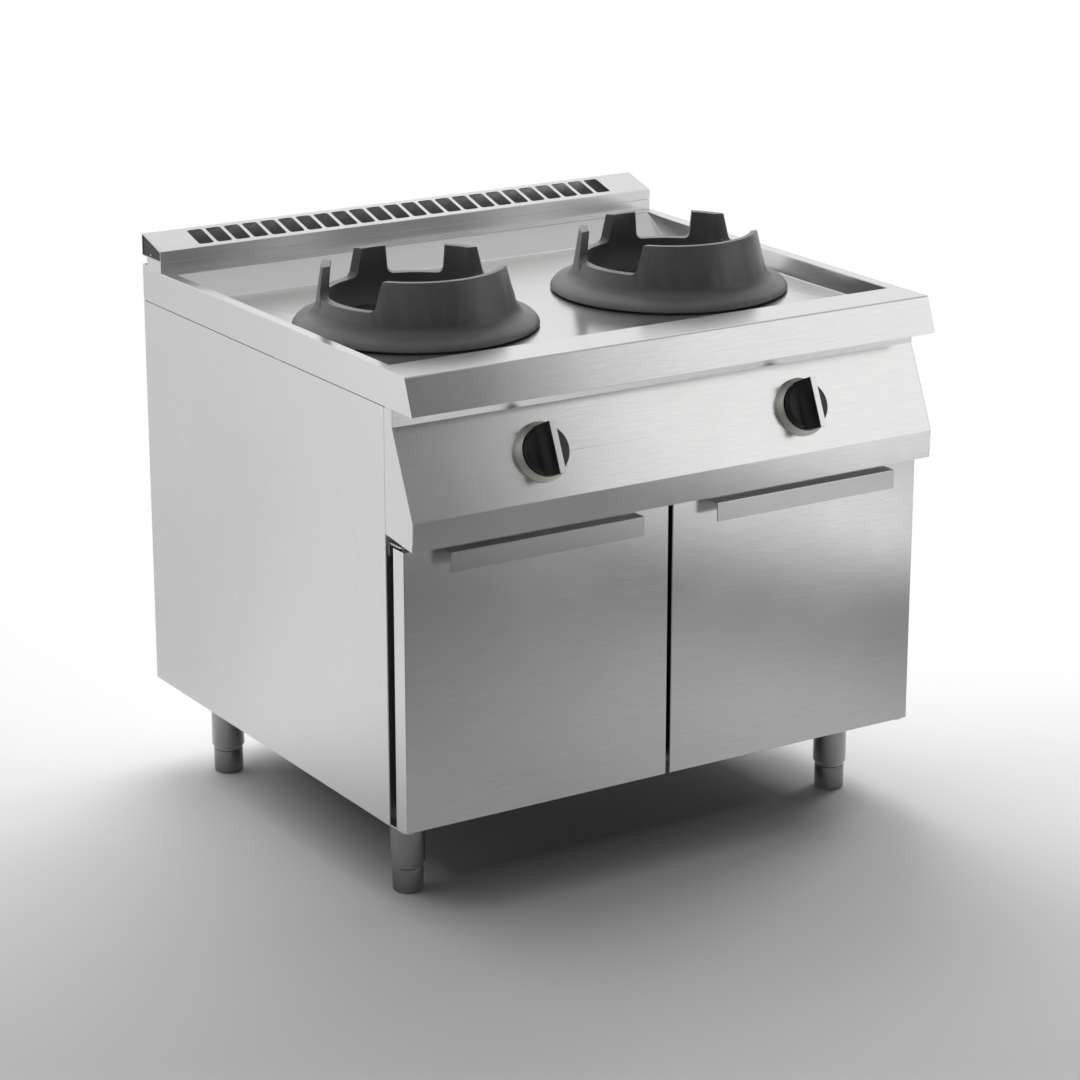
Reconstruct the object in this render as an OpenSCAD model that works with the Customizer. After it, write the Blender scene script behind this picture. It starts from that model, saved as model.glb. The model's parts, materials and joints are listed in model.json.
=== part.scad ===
// Free-standing gas wok range with two burners under cast wok rings, a recessed worktop,
// a sloped control panel, a flue along the back and a cabinet with two doors.
// Millimetres. X is the width, the front looks towards -Y and Z points up.
// The origin is on the floor, below the middle of the whole object's box.

/* [Cabinet] */
// Width of the range
width = 1000; // [960:10:1060]
// Depth of the side panels
side_depth = 828; // [800:2:850]
// Height of the cabinet underside above the floor
leg_height = 150; // [140:1:170]
// Height of the cabinet walls
carcase_h = 688; // [670:2:710]
// Thickness of the outer sheet steel
sheet = 2; // [1.5:0.1:2.4]
// Thickness of the inner sheet steel
inner_sheet = 1.5; // [1.2:0.1:2]
// Width of the turned front edge of each side panel
side_flange = 18; // [14:1:22]
// Height of the cross rail above the doors
rail_h = 36; // [28:1:40]
// Depth of the cross rail
rail_d = 24; // [18:1:30]

/* [Worktop] */
// Height of the worktop skirt
top_h = 59; // [54:1:64]
// Reach of the worktop's lower front edge past the side panels
top_overhang = 86; // [82:1:92]
// Lean of the worktop's front skirt
front_lean = 22.6; // [16:0.2:28]
// Width of the rim beside the basin
rim_side = 20; // [16:1:30]
// Width of the rim in front of the basin
rim_front = 79; // [70:1:90]
// Width of the level ledge behind the basin
rim_back = 21; // [14:1:26]
// Depth of the basin
basin_depth = 32; // [26:1:36]
// Run of the basin's sloped back wall
basin_back_run = 68; // [50:1:80]
// Run of the basin's front wall
basin_front_run = 14; // [8:1:24]
// Run of the basin's side walls
basin_side_run = 10; // [4:1:16]

/* [Flue] */
// Depth of the flue
flue_d = 70; // [66:1:76]
// Height of the riser under the flue cover
riser_h = 20; // [16:1:26]
// Height of the cover's front wall
cover_front_h = 17; // [14:1:20]
// Height of the cover's back edge
cover_back_h = 37; // [32:1:42]
// Number of flue slots
slot_count = 24; // [20:1:26]
// Share of its spacing that a flue slot takes up
slot_share = 0.807; // [0.6:0.001:0.85]
// Length of one flue slot along the slope
slot_l = 52; // [44:1:54]
// Corner radius of a flue slot
slot_r = 5; // [2:0.5:8]
// Distance of the outer flue slots from the cover's ends
slot_end = 79.8; // [60:0.1:100]

/* [Control panel] */
// Height of the upright strip under the worktop
strip_h = 29; // [24:1:34]
// Reach of the upright strip past the side panels
strip_out = 24; // [18:1:30]
// Height of the sloped face
slope_h = 138; // [130:1:144]
// Reach of the panel's nose past the side panels
nose_out = 84; // [80:1:90]
// Height of the face below the nose
nose_h = 47; // [42:1:52]
// Reach of the panel's foot past the side panels
foot_out = 81; // [77:1:86]
// Rise of the panel's underside towards the back
under_rise = 10; // [4:1:16]

/* [Knobs] */
// Spacing of the knobs and burners
burner_pitch = 500; // [470:5:520]
// Outer radius of the bezel
bezel_r = 48; // [46:0.5:52]
// Bore radius of the bezel
bezel_bore_r = 39.6; // [39.4:0.1:40.5]
// Height of the bezel at its bore
bezel_h = 10; // [7:0.5:10]
// Height of the bezel's outer edge
bezel_edge_h = 4; // [2:0.5:6]
// Radius of the black disc
knob_r = 38.5; // [36:0.5:39]
// Height of the disc face above the panel
knob_face_h = 24; // [21:0.5:27]
// Height of the pointer face above the panel
knob_h = 52; // [46:0.5:54]
// Length of the grip
grip_l = 84; // [80:1:88]
// Width of the pointer face
pointer_w = 10.5; // [8:0.5:14]
// Width of the grip where it meets the disc
grip_w = 30; // [24:1:34]
// Radius of the tap spindle
spindle_r = 4; // [3.5:0.1:4.5]
// Push travel of the knob
push_travel = 4; // [3:0.5:4]

/* [Wok rings] */
// Distance of the burners in front of the basin floor's middle
burner_shift = 20.3; // [10:0.1:30]
// Radius of the ring's foot
ring_r = 203; // [195:1:210]
// Height of the ring above the basin floor
ring_h = 103; // [97:1:108]
// Height of the gap under the ring
ring_gap = 2; // [1.5:0.5:4]
// Outer radius at the top of the ring
ring_top_r = 149; // [146:1:152]
// Outer radius at the neck of the ring
ring_neck_r = 164; // [160:1:170]
// Height of the neck above the ring's underside
ring_neck_h = 36; // [32:1:40]
// Wall thickness of the prongs at the top
prong_t = 14.5; // [11:0.5:16]
// Wall thickness of the front wall at the top
wall_t = 10; // [8:0.5:11]
// Depth of the notches between the prongs
notch_h = 49; // [44:1:54]
// Angle that one prong spans
prong_angle = 20; // [16:1:26]
// Angle that the front wall spans
wall_angle = 100; // [90:1:110]
// Radius of the basin's burner holes
hole_r = 105; // [100:1:110]

/* [Burners] */
// Radius of the burner bowl at its rim
bowl_r = 78; // [72:1:84]
// Height of the burner bowl
bowl_h = 42; // [38:1:46]
// Height of the flame crown
crown_h = 18; // [14:1:22]
// Height of the burner cap
cap_h = 12; // [8:1:14]
// Radius of the mixing tube
tube_r = 17; // [14:1:19]
// Number of flame ports
port_count = 24; // [16:1:32]

/* [Doors] */
// Thickness of the doors
door_t = 32; // [28:1:34]
// Gap between the closed doors and the side panels
door_back_gap = 16; // [14:0.5:18]
// Gap between the two doors
door_gap = 8; // [6:0.5:10]
// Inset of the doors from the cabinet's sides
door_inset = 4; // [2:0.5:6]
// Gap between the doors' top and the control panel
door_top_gap = 9; // [8.5:0.5:12]
// Distance of the hinge pins from the doors' outer edges
pivot_inset = 12; // [11.5:0.5:16]
// Radius of the hinge pins
pin_r = 4; // [3:0.1:5]
// Length of the handles
handle_l = 358; // [300:2:400]
// Height of the handles' front face
handle_face_h = 32; // [26:1:36]
// Reach of the handles past the door
handle_out = 30; // [26:1:34]

/* [Legs] */
// Radius of the leg tubes
leg_r = 28.5; // [27:0.5:31]
// Radius of the screw feet
foot_r = 25.5; // [23:0.5:26.5]
// Visible height of a foot
foot_h = 42; // [38:1:48]
// Distance of the legs from the cabinet's sides
leg_side_inset = 74.5; // [66:0.5:84]
// Distance of the front legs from the side panels' front edge
leg_front_inset = 73; // [64:1:84]
// Distance of the back legs from the back
leg_back_inset = 124; // [110:1:140]

/* [Hidden] */
$fn = 96;

// Named overrun of every cut, and the clearances
over = 1;
fit = 0.05;
gap = 0.3;

// Heights
z_base = leg_height;
z_side = z_base + carcase_h;
z_top = z_side + top_h;
z_basin = z_top - basin_depth;
z_riser = z_top + riser_h;
z_kink = z_side - strip_h;
z_nose = z_kink - slope_h;
z_foot = z_nose - nose_h;
z_under = z_foot + under_rise;

// Distances from the back
d_strip = side_depth + strip_out;
d_nose = side_depth + nose_out;
d_foot = side_depth + foot_out;
d_top = side_depth + top_overhang;
d_rail = side_depth - sheet;
inner_x = width / 2 - sheet;

// The knobs stand square on the sloped face, and their lower tips reach furthest forward
slope_angle = atan((d_nose - d_strip) / slope_h);
d_knob = (d_strip + d_nose) / 2;
z_knob = (z_kink + z_nose) / 2;
reach = d_knob + grip_l / 2 * sin(slope_angle) + knob_h * cos(slope_angle);
back_y = reach / 2;
burner_x = burner_pitch / 2;
steel = "gainsboro";
cast = "dimgray";

function yb(d) = back_y - d;

// Helpers
module along_x(x0, x1) {
  translate([x0, 0, 0]) rotate([90, 0, 90]) linear_extrude(x1 - x0) children();
}
module along_y(d0, d1) {
  translate([0, yb(d0), 0]) rotate([90, 0, 0]) linear_extrude(d1 - d0) children();
}
module block(x0, x1, d0, d1, z0, z1) {
  translate([x0, yb(d1), z0]) cube([x1 - x0, d1 - d0, z1 - z0]);
}
module on_panel(x) {
  translate([x, yb(d_knob), z_knob]) rotate([90 - slope_angle, 0, 0]) children();
}
module at_burner(x) {
  translate([x, yb(burner_d), z_basin]) children();
}
module left_half() {
  mirror([1, 0, 0]) children();
}
// A point on a knob axis or beside it: along X, up the slope, out of the panel
function panel_point(x, u, h) = [
  x,
  yb(d_knob) + u * sin(slope_angle) - h * cos(slope_angle),
  z_knob + u * cos(slope_angle) + h * sin(slope_angle)
];
// A pipe through a list of points, with a round elbow at every corner that the straight runs end in
elbow_share = 1.5;
module pipe(p, r) {
  for (i = [0 : len(p) - 2]) {
    u = (p[i + 1] - p[i]) / norm(p[i + 1] - p[i]);
    a = p[i] + u * (i > 0 ? r : 0);
    b = p[i + 1] - u * (i < len(p) - 2 ? r : 0);
    translate(a) rotate([0, acos(u[2]), atan2(u[1], u[0])]) cylinder(h = norm(b - a), r = r);
  }
  for (i = [1 : len(p) - 2]) translate(p[i]) sphere(r = elbow_share * r);
}
module rounded_rect(w, l, r) {
  square([w - 2 * r, l], center = true);
  square([w, l - 2 * r], center = true);
  for (x = [-1, 1], y = [-1, 1]) translate([x * (w / 2 - r), y * (l / 2 - r)]) circle(r = r);
}

// Cabinet shell
module side_panel_right() {
  color(steel) {
    block(inner_x, width / 2, 0, side_depth, z_base, z_side);
    block(inner_x - side_flange, inner_x, side_depth - sheet, side_depth, z_base, z_side);
  }
}
module side_panel_left() left_half() side_panel_right();

vent_count = 8;
vent_w = 60;
vent_h = 8;
vent_pitch = 90;
vent_drop = 60;
module back_panel() {
  color(steel) difference() {
    block(-inner_x, inner_x, 0, sheet, z_base, z_side);
    for (i = [0 : vent_count - 1]) {
      x = (i - (vent_count - 1) / 2) * vent_pitch;
      block(x - vent_w / 2, x + vent_w / 2, -over, sheet + over,
        z_under + vent_drop, z_under + vent_drop + vent_h);
    }
  }
}

supply_inset = 50;
supply_d = 60;
supply_r = 10.5;
supply_hole_r = 13;
supply_x = width / 2 - supply_inset;
base_lip_h = 16;
module base_shelf() {
  color(steel) difference() {
    union() {
      block(-inner_x, inner_x, sheet, d_rail, z_base, z_base + sheet);
      block(-inner_x + side_flange, inner_x - side_flange, d_rail, side_depth, z_base, z_base + base_lip_h);
    }
    translate([supply_x, yb(supply_d), z_base - over]) cylinder(h = sheet + 2 * over, r = supply_hole_r);
  }
}

module cross_rail() {
  color(steel) difference() {
    block(-inner_x, inner_x, d_rail - rail_d, d_rail, z_under - rail_h, z_under);
    block(-inner_x - over, inner_x + over, d_rail - rail_d - over, d_rail - inner_sheet,
      z_under - rail_h + inner_sheet, z_under - inner_sheet);
  }
}

shield_lip_h = 15;
module heat_shield() {
  color(steel) difference() {
    union() {
      block(-inner_x, inner_x, sheet, d_rail, z_under, z_under + inner_sheet);
      block(-inner_x, inner_x, sheet, sheet + inner_sheet, z_under, z_under + shield_lip_h);
      block(-inner_x + side_flange, inner_x - side_flange, d_rail - inner_sheet, d_rail,
        z_under, z_under + shield_lip_h);
    }
    translate([supply_x, yb(supply_d), z_under - over])
      cylinder(h = inner_sheet + 2 * over, r = supply_hole_r);
  }
}

// Worktop: a folded skirt and rim, and the pan that is let into it
exhaust_inset = 60;
exhaust_wall = 4;
// gap at a welded seam between two sheets
seam = 0.3;
collar_h = 6;
collar_t = 2;
pan_front_d = d_top - front_lean - rim_front;
pan_back_d = flue_d + rim_back;
pan_x = width / 2 - rim_side;
d_floor_back = pan_back_d + basin_back_run;
d_floor_front = pan_front_d - basin_front_run;
burner_d = (d_floor_back + d_floor_front) / 2 + burner_shift;
module skirt_outline(t) {
  polygon([
    [yb(t), z_side - (t > 0 ? over : 0)],
    [yb(d_top - t), z_side - (t > 0 ? over : 0)],
    [yb(d_top - t), z_side],
    [yb(d_top - front_lean - t), z_top - t],
    [yb(t), z_top - t]
  ]);
}
module pan_shape(t, rise) {
  intersection() {
    along_x(-pan_x - t, pan_x + t) polygon(concat([
      [yb(pan_back_d - t), z_top],
      [yb(d_floor_back - t), z_basin - t],
      [yb(d_floor_front + t), z_basin - t],
      [yb(pan_front_d + t), z_top]
    ], rise > 0 ? [
      [yb(pan_front_d + t), z_top + rise],
      [yb(pan_back_d - t), z_top + rise]
    ] : []));
    along_y(0, d_top) polygon(concat([
      [-pan_x - t, z_top],
      [-pan_x - t + basin_side_run, z_basin - t],
      [pan_x + t - basin_side_run, z_basin - t],
      [pan_x + t, z_top]
    ], rise > 0 ? [
      [pan_x + t, z_top + rise],
      [-pan_x - t, z_top + rise]
    ] : []));
  }
}
module worktop() {
  color(steel) difference() {
    union() {
      difference() {
        along_x(-width / 2, width / 2) skirt_outline(0);
        along_x(-inner_x, inner_x) skirt_outline(sheet);
      }
      // turned edge under the front skirt, which sits on the control panel
      block(-inner_x, inner_x, d_strip - strip_out / 2, d_top - sheet, z_side, z_side + sheet);
    }
    pan_shape(sheet, over);
    block(-inner_x, inner_x, -over, flue_d - exhaust_wall, z_side - over, z_top + over);
  }
  // rear skirt, and the plate at each end of the exhaust opening
  color(steel) block(-inner_x + seam, inner_x - seam, 0, sheet, z_side, z_top);
  color(steel) for (x = [-inner_x + seam, width / 2 - exhaust_inset])
    block(x, x + exhaust_inset - sheet - seam, sheet + seam, flue_d - exhaust_wall - seam,
      z_top - sheet, z_top);
}
module basin_pan() {
  color(steel) difference() {
    pan_shape(sheet, 0);
    pan_shape(0, over);
    for (x = [-burner_x, burner_x]) at_burner(x)
      translate([0, 0, -sheet - over]) cylinder(h = sheet + 2 * over, r = hole_r);
  }
  // raised collars that keep spills out of the burner holes
  color(steel) for (x = [-burner_x, burner_x]) at_burner(x) difference() {
    translate([0, 0, -sheet]) cylinder(h = collar_h + sheet, r = hole_r);
    translate([0, 0, -sheet - over]) cylinder(h = collar_h + sheet + 2 * over, r = hole_r - collar_t);
  }
}

// Flue
rebate_h = 2;
rebate_d = 1.2;
notch_d = 17;
notch_z = 14;
module riser_ring(inset, z0, z1) {
  difference() {
    block(-width / 2 + inset, width / 2 - inset, inset, flue_d - inset, z0, z1);
    block(-inner_x + inset, inner_x - inset, sheet + inset, flue_d - sheet - inset, z0 - over, z1 + over);
  }
}
module flue_riser() {
  color(steel) difference() {
    union() {
      riser_ring(0, z_top, z_riser - rebate_h);
      riser_ring(rebate_d, z_riser - rebate_h, z_riser);
    }
    // small cut in each rear corner
    for (x = [-width / 2 - over, width / 2 - notch_d])
      block(x, x + notch_d + over, -over, notch_d, z_riser - rebate_h - notch_z, z_riser - rebate_h);
  }
}

slot_pitch = (width - 2 * slot_end) / (slot_count - 1 + slot_share);
slot_w = slot_pitch * slot_share;
cover_slope = atan((cover_back_h - cover_front_h) / flue_d);
z_cover = z_riser + (cover_front_h + cover_back_h) / 2;
module cover_outline(t) {
  polygon([
    [yb(t), z_riser],
    [yb(flue_d - t), z_riser],
    [yb(flue_d - t), z_riser + cover_front_h - t / cos(cover_slope)],
    [yb(t), z_riser + cover_back_h - t / cos(cover_slope)]
  ]);
}
module flue_cover() {
  color(steel) difference() {
    along_x(-width / 2, width / 2) cover_outline(0);
    along_x(-width / 2 - over, width / 2 + over) intersection() {
      cover_outline(inner_sheet);
      translate([yb(flue_d), z_riser - over]) square([flue_d, cover_back_h]);
    }
    // open underside between the front and back walls
    block(-width / 2 - over, width / 2 + over, inner_sheet, flue_d - inner_sheet,
      z_riser - over, z_riser + inner_sheet);
    for (i = [0 : slot_count - 1])
      translate([(i - (slot_count - 1) / 2) * slot_pitch, yb(flue_d / 2), z_cover])
        rotate([cover_slope, 0, 0])
          linear_extrude(4 * inner_sheet, center = true) rounded_rect(slot_w, slot_l, slot_r);
  }
}
plug_inset = 1.5;
module flue_end_plugs() {
  color("darkslategray")
    for (x = [-width / 2 + plug_inset, width / 2 - plug_inset - inner_sheet])
      along_x(x, x + inner_sheet) cover_outline(inner_sheet);
}

duct_h = 120;
duct_x = width / 2 - exhaust_inset;
duct_z = z_top - sheet;
module flue_duct() {
  // front and back plate, and an end plate between them at each side
  color(steel) for (d = [sheet, flue_d - exhaust_wall])
    block(-duct_x - inner_sheet, duct_x + inner_sheet, d, d + inner_sheet, duct_z - duct_h, duct_z);
  color(steel) for (x = [-duct_x - inner_sheet, duct_x])
    block(x, x + inner_sheet, sheet + inner_sheet + seam, flue_d - exhaust_wall - seam,
      duct_z - duct_h, duct_z);
}

// Control panel and its end cheeks
panel_hole_r = 8;
slope_t = sheet / cos(slope_angle);
module panel_outline() {
  polygon([
    [yb(side_depth), z_side],
    [yb(d_strip), z_side],
    [yb(d_strip), z_kink],
    [yb(d_nose), z_nose],
    [yb(d_foot), z_foot],
    [yb(side_depth), z_under]
  ]);
}
module control_panel() {
  color(steel) difference() {
    union() {
      along_x(-inner_x, inner_x) polygon([
        [yb(d_strip), z_side],
        [yb(d_strip), z_kink],
        [yb(d_nose), z_nose],
        [yb(d_foot), z_foot],
        [yb(d_foot - slope_t), z_foot],
        [yb(d_nose - slope_t), z_nose],
        [yb(d_strip - slope_t), z_kink],
        [yb(d_strip - slope_t), z_side]
      ]);
      along_x(-inner_x, inner_x) polygon([
        [yb(d_foot), z_foot],
        [yb(side_depth), z_under],
        [yb(side_depth), z_under + sheet],
        [yb(d_foot - slope_t), z_foot + sheet]
      ]);
    }
    for (x = [-burner_x, burner_x]) on_panel(x)
      translate([0, 0, -sheet - over]) cylinder(h = sheet + 2 * over, r = panel_hole_r);
  }
}
cheek_nick = 5;
module panel_cheek_right() {
  color(steel) difference() {
    along_x(inner_x, width / 2) panel_outline();
    along_x(inner_x - over, width / 2 + over) polygon([
      [yb(side_depth) + over, z_side + over],
      [yb(side_depth + cheek_nick), z_side + over],
      [yb(side_depth) + over, z_side - cheek_nick]
    ]);
  }
}
module panel_cheek_left() left_half() panel_cheek_right();

// Knobs, in a frame whose Z leaves the panel at the knob's axis
module knob_bezel(x) {
  color("silver") on_panel(x) rotate_extrude() polygon([
    [bezel_bore_r, 0],
    [bezel_r, 0],
    [bezel_r, bezel_edge_h],
    [bezel_bore_r + gap, bezel_h],
    [bezel_bore_r, bezel_h]
  ]);
}
module knob_bezel_left() knob_bezel(-burner_x);
module knob_bezel_right() knob_bezel(burner_x);

disc_floor = push_travel + 2 * gap;
disc_chamfer = 2;
grip_base = bezel_h + push_travel + over;
pointer_t = 1.5;
hub_depth = 14;
grip_steps = 8;
grip_waist = 2.2;
grip_top = knob_h - pointer_t;
function grip_half(t) = pointer_w / 2 + (grip_w - pointer_w) / 2 * pow(1 - t, grip_waist);
grip_side = [for (i = [0 : grip_steps])
  [grip_half(i / grip_steps), knob_face_h + (grip_top - knob_face_h) * i / grip_steps]];
module grip_bounds(z0, z1) {
  translate([0, 0, z0]) cylinder(h = z1 - z0, r = grip_l / 2);
}
module knob(x) {
  color("black") on_panel(x) difference() {
    union() {
      rotate_extrude() polygon([
        [0, disc_floor],
        [knob_r, disc_floor],
        [knob_r, knob_face_h - disc_chamfer],
        [knob_r - disc_chamfer, knob_face_h],
        [0, knob_face_h]
      ]);
      intersection() {
        rotate([90, 0, 0]) linear_extrude(grip_l, center = true) polygon(concat(
          [[grip_w / 2, grip_base]],
          grip_side,
          [for (i = [grip_steps : -1 : 0]) [-grip_side[i][0], grip_side[i][1]]],
          [[-grip_w / 2, grip_base]]
        ));
        grip_bounds(grip_base, knob_h);
      }
    }
    translate([0, 0, disc_floor - over]) cylinder(h = hub_depth + over, r = spindle_r);
  }
}
module knob_left() knob(-burner_x);
module knob_right() knob(burner_x);

module knob_pointer(x) {
  color("silver") on_panel(x) intersection() {
    grip_bounds(grip_top, knob_h);
    translate([-pointer_w / 2, -grip_l / 2, grip_top]) cube([pointer_w, grip_l, pointer_t]);
  }
}
module knob_pointer_left() knob_pointer(-burner_x);
module knob_pointer_right() knob_pointer(burner_x);

// Gas taps: a body with a turning plug, and a spindle that slides in the plug
tap_neck_r = 11;
tap_neck_l = 14;
tap_r = 15;
tap_l = 50;
tap_wall = 6;
plug_r = 9;
plug_floor = 6;
tap_front = -sheet - tap_neck_l;
chamber_top = tap_front - tap_wall;
chamber_bottom = tap_front - tap_l + sheet;
plug_bottom = chamber_bottom + gap;
spindle_bottom = plug_bottom + plug_floor + push_travel + gap;
manifold_drop = 34;
manifold_r = 10.5;
manifold_h = -tap_front + tap_l / 2;
boss_r = 7;
pilot_boss_r = 4;
pilot_boss_l = 4;
module gas_tap(x) {
  color("goldenrod") on_panel(x) difference() {
    union() {
      translate([0, 0, tap_front]) cylinder(h = tap_neck_l, r = tap_neck_r);
      translate([0, 0, tap_front - tap_l]) cylinder(h = tap_l, r = tap_r);
      translate([0, 0, -manifold_h]) rotate([90, 0, 0]) cylinder(h = manifold_drop, r = boss_r);
      translate([0, 0, -manifold_h]) rotate([0, 90, 0])
        cylinder(h = tap_r + pilot_boss_l, r = pilot_boss_r);
    }
    translate([0, 0, tap_front - tap_l / 2]) cylinder(h = tap_l, r = spindle_r + fit);
    translate([0, 0, chamber_bottom]) cylinder(h = chamber_top - chamber_bottom, r = plug_r + fit);
    translate([0, -manifold_drop, -manifold_h]) rotate([0, 90, 0])
      cylinder(h = 4 * tap_r, r = manifold_r, center = true);
  }
}
module gas_tap_left() gas_tap(-burner_x);
module gas_tap_right() gas_tap(burner_x);

module tap_plug(x) {
  color("gold") on_panel(x) difference() {
    translate([0, 0, plug_bottom]) cylinder(h = chamber_top - gap - plug_bottom, r = plug_r);
    translate([0, 0, plug_bottom + plug_floor]) cylinder(h = tap_l, r = spindle_r + fit);
  }
}
module tap_plug_left() tap_plug(-burner_x);
module tap_plug_right() tap_plug(burner_x);

module tap_spindle(x) {
  color("silver") on_panel(x) translate([0, 0, spindle_bottom])
    cylinder(h = disc_floor + hub_depth - spindle_bottom, r = spindle_r);
}
module tap_spindle_left() tap_spindle(-burner_x);
module tap_spindle_right() tap_spindle(burner_x);

// Gas pipes
manifold_end = 45;
manifold_bore_r = 8;
socket_l = 26;
socket_r = 14;
manifold_x0 = -burner_x - manifold_end;
manifold_x1 = supply_x - socket_l;
module at_manifold(x) {
  translate([x, 0, 0] + panel_point(0, -manifold_drop, -manifold_h)) children();
}
module gas_manifold() {
  color("goldenrod") difference() {
    at_manifold(manifold_x0) rotate([0, 90, 0]) cylinder(h = manifold_x1 - manifold_x0, r = manifold_r);
    at_manifold(manifold_x0 + manifold_r) rotate([0, 90, 0]) cylinder(h = width, r = manifold_bore_r);
  }
}
inlet_nut_h = 9;
module gas_supply_pipe() {
  top = panel_point(supply_x, -manifold_drop, -manifold_h);
  color("silver") {
    at_manifold(manifold_x1) rotate([0, 90, 0]) cylinder(h = socket_l, r = socket_r);
    at_manifold(supply_x) sphere(r = socket_r);
    pipe([top, [supply_x, yb(supply_d), top[2]], [supply_x, yb(supply_d), z_base]], supply_r);
  }
}
inlet_r = 10.48;
inlet_l = 30;
inlet_nut_r = 18;
module gas_inlet() {
  color("goldenrod") translate([supply_x, yb(supply_d), z_base - inlet_nut_h]) {
    cylinder(h = inlet_nut_h, r = inlet_nut_r, $fn = 6);
    translate([0, 0, -inlet_l]) difference() {
      cylinder(h = inlet_l, r = inlet_r);
      translate([0, 0, -over]) cylinder(h = inlet_l, r = manifold_bore_r);
    }
  }
}

// Burners, in a frame on the basin floor below each wok ring
crown_rise = 10;
bowl_top = crown_rise - crown_h;
bowl_bottom = bowl_top - bowl_h;
bowl_floor_r = 46;
bowl_rim_h = 8;
bowl_wall = 4;
mixer_z = bowl_bottom + tube_r + bowl_wall - over;
mixer_wall = 4;
air_gap = 12;
injector_r = 9;
injector_l = 20;
feed_clear = 77.4;
d_feed = d_floor_front - feed_clear;
mixer_l = d_feed - injector_l - air_gap - burner_d;
module bowl_outline(t) {
  polygon([
    [0, bowl_bottom + t],
    [bowl_floor_r - t / 2, bowl_bottom + t],
    [bowl_r - t, bowl_top - bowl_rim_h + t / 2],
    [bowl_r - t, bowl_top + t / 2],
    [0, bowl_top + t / 2]
  ]);
}
module burner_body(x) {
  color(cast) at_burner(x) difference() {
    union() {
      rotate_extrude() bowl_outline(0);
      translate([0, 0, mixer_z]) rotate([90, 0, 0]) cylinder(h = mixer_l, r = tube_r);
    }
    rotate_extrude() bowl_outline(bowl_wall);
    translate([0, 0, mixer_z]) rotate([90, 0, 0]) cylinder(h = mixer_l + over, r = tube_r - mixer_wall);
  }
}
module burner_body_left() burner_body(-burner_x);
module burner_body_right() burner_body(burner_x);

crown_inset = 2;
crown_bore = 48;
port_r = 1.6;
port_rise = 12;
crown_r = bowl_r - crown_inset;
module burner_crown(x) {
  color("darkgoldenrod") at_burner(x) translate([0, 0, bowl_top]) difference() {
    cylinder(h = crown_h, r = crown_r);
    translate([0, 0, -over]) cylinder(h = crown_h + 2 * over, r = crown_bore);
    for (i = [0 : port_count - 1]) rotate([0, 0, i * 360 / port_count])
      translate([crown_bore - over, 0, port_rise]) rotate([0, 90, 0]) cylinder(h = crown_r, r = port_r);
  }
}
module burner_crown_left() burner_crown(-burner_x);
module burner_crown_right() burner_crown(burner_x);

cap_edge_h = 4;
cap_flat_r = 56;
cap_skirt_r = 46;
cap_skirt_t = 4;
cap_skirt_h = 9;
module burner_cap(x) {
  color("darkslategray") at_burner(x) translate([0, 0, crown_rise + gap]) rotate_extrude() polygon([
    [0, 0],
    [cap_skirt_r - cap_skirt_t, 0],
    [cap_skirt_r - cap_skirt_t, -cap_skirt_h],
    [cap_skirt_r, -cap_skirt_h],
    [cap_skirt_r, 0],
    [crown_r, 0],
    [crown_r, cap_edge_h],
    [cap_flat_r, cap_h],
    [0, cap_h]
  ]);
}
module burner_cap_left() burner_cap(-burner_x);
module burner_cap_right() burner_cap(burner_x);

strap_w = 40;
strap_t = 3;
strap_foot = 22;
strap_gap = 8;
strap_x = hole_r + strap_gap;
strap_bottom = bowl_bottom - strap_t;
module burner_straps() {
  color(steel) for (x = [-burner_x, burner_x]) at_burner(x)
    rotate([90, 0, 0]) linear_extrude(strap_w, center = true) polygon([
      [-strap_x - strap_foot, -sheet],
      [-strap_x - strap_foot, -sheet - strap_t],
      [-strap_x - strap_t, -sheet - strap_t],
      [-strap_x - strap_t, strap_bottom],
      [strap_x + strap_t, strap_bottom],
      [strap_x + strap_t, -sheet - strap_t],
      [strap_x + strap_foot, -sheet - strap_t],
      [strap_x + strap_foot, -sheet],
      [strap_x, -sheet],
      [strap_x, bowl_bottom],
      [-strap_x, bowl_bottom],
      [-strap_x, -sheet]
    ]);
}

// Injectors stand just in front of the mixing tubes, on the ends of their pipes
nozzle_r = 3.5;
nozzle_reach = 5;
feed_r = 5;
module injectors() {
  color("goldenrod") for (x = [-burner_x, burner_x]) at_burner(x)
    translate([0, -mixer_l - air_gap, mixer_z]) {
      rotate([90, 0, 0]) cylinder(h = injector_l, r = injector_r, $fn = 6);
      rotate([-90, 0, 0]) cylinder(h = air_gap + nozzle_reach, r = nozzle_r);
    }
}
elbow_r = 8;
elbow_l = 18;
feed_bend = 34;
tap_bottom = tap_front - tap_l;
module injector_pipes() {
  color("silver") for (x = [-burner_x, burner_x]) {
    on_panel(x) translate([0, 0, tap_bottom - elbow_l]) cylinder(h = elbow_l, r = elbow_r);
    pipe([
      panel_point(x, 0, tap_bottom - elbow_l / 2),
      [x, yb(d_feed + feed_bend), z_basin + mixer_z],
      [x, yb(d_feed), z_basin + mixer_z]
    ], feed_r);
  }
}

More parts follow.
